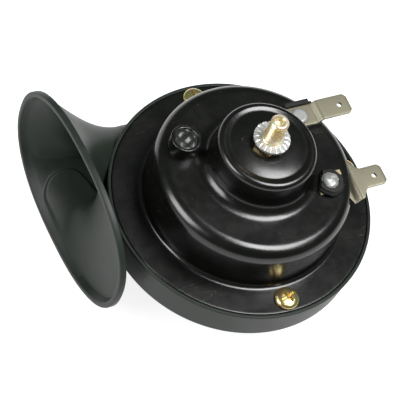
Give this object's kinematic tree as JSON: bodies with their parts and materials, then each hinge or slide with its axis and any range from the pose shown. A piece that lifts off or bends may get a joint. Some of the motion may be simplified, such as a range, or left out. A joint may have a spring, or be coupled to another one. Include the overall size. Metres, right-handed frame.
{
  "type": "electric snail horn",
  "caption": "Electric vehicle horn: steel electromagnet pot on a moulded spiral duct with an oval bell, held by a threaded stud, with two blade terminals",
  "frame": {"origin": "On the fixing stud's axis, where its thread leaves the collar, 0.5 mm above the toothed washer that seats the bracket", "axes": "+Z out along the fixing stud, -X the way the bell's mouth faces, +X the way the blade terminals point"},
  "size_m": [0.0845, 0.0863, 0.0692],
  "materials": {
    "housing": "satin black moulded plastic",
    "black_paint": "gloss black paint on pressed steel",
    "gasket": "compressed fibre gasket",
    "spring_steel": "spring steel",
    "yellow_zinc": "yellow zinc plate",
    "white_zinc": "bright zinc plate",
    "soft_iron": "turned soft iron",
    "bobbin_plastic": "natural nylon",
    "copper": "enamelled copper wire",
    "phenolic": "phenolic laminate",
    "bronze": "phosphor bronze strip",
    "contact_metal": "tungsten contact",
    "wax": "black sealing wax",
    "blade_metal": "tinned blade",
    "rivet_metal": "plain rivet",
    "insulator": "black moulded insulator",
    "fibre": "vulcanised fibre"
  },
  "bodies": {
    "housing": {"snail_rear": "housing", "snail_front": "housing", "bell": "housing", "pot_cover": "black_paint", "gasket_upper": "gasket", "gasket_lower": "gasket", "diaphragm": "spring_steel", "flange_screws": "yellow_zinc", "stud": "yellow_zinc", "stud_nut": "yellow_zinc", "toothed_washer": "white_zinc", "fixed_core": "soft_iron", "bobbin": "bobbin_plastic", "coil_winding": "copper", "yoke_plate": "soft_iron", "breaker_leaf_foot": "bronze", "support_leaf_foot": "bronze", "stack_block": "phenolic", "stack_spacer": "phenolic", "stack_pad": "phenolic", "stack_screw": "white_zinc", "adjuster_bush": "black_paint", "wax_seal": "wax", "terminal_top": "blade_metal", "terminal_side": "blade_metal", "terminal_rivets": "rivet_metal", "insulator_top": "insulator", "insulator_low": "insulator", "fibre_sheet": "fibre", "rivet_bushes": "bobbin_plastic", "inner_washers": "fibre", "slot_bush": "insulator", "coil_lead_feed": "copper", "coil_lead_breaker": "copper", "contact_lead": "copper"},
    "armature": {"armature": "soft_iron", "clamp_plate_upper": "white_zinc", "clamp_plate_lower": "white_zinc", "clamp_nut": "white_zinc", "striker": "phenolic", "striker_clip": "spring_steel"},
    "breaker_leaf": {"breaker_leaf": "bronze", "moving_contact": "contact_metal"},
    "support_leaf": {"support_leaf": "bronze", "fixed_contact": "contact_metal"},
    "adjuster_button": {"adjuster_button": "bobbin_plastic"},
    "adjusting_screw": {"adjusting_screw": "white_zinc"}
  },
  "joints": [
    {"name": "armature_stroke", "type": "slide", "parent": "housing", "child": "armature", "axis": [0, 0, 1], "range_m": [0, 0.0006], "stiffness_N_per_m": 8000, "deforming": ["diaphragm"]},
    {"name": "breaker_bend", "type": "hinge", "parent": "housing", "child": "breaker_leaf", "pos_m": [-0.0172, -0.0104, -0.02138], "axis": [1, 0, 0], "range_deg": [0, 4.2]},
    {"name": "adjuster_feed", "type": "slide", "parent": "housing", "child": "adjuster_button", "axis": [0, 0, -1], "range_m": [0, 0.000495]},
    {"name": "adjuster_turn", "type": "hinge", "parent": "adjuster_button", "child": "adjusting_screw", "pos_m": [-0.01808, 0.01108, -0.0183], "axis": [0, 0, -1], "range_deg": [0, 255]},
    {"name": "support_bend", "type": "hinge", "parent": "housing", "child": "support_leaf", "pos_m": [-0.0172, -0.0104, -0.0238], "axis": [-1, 0, 0], "range_deg": [0, 1.45]}
  ],
  "couplings": [
    {"joint": "breaker_bend", "follows": "armature_stroke", "rad_per_m": 120},
    {"joint": "adjuster_turn", "follows": "adjuster_feed", "rad_per_m": 8976},
    {"joint": "support_bend", "follows": "adjuster_feed", "rad_per_m": 50.37}
  ]
}
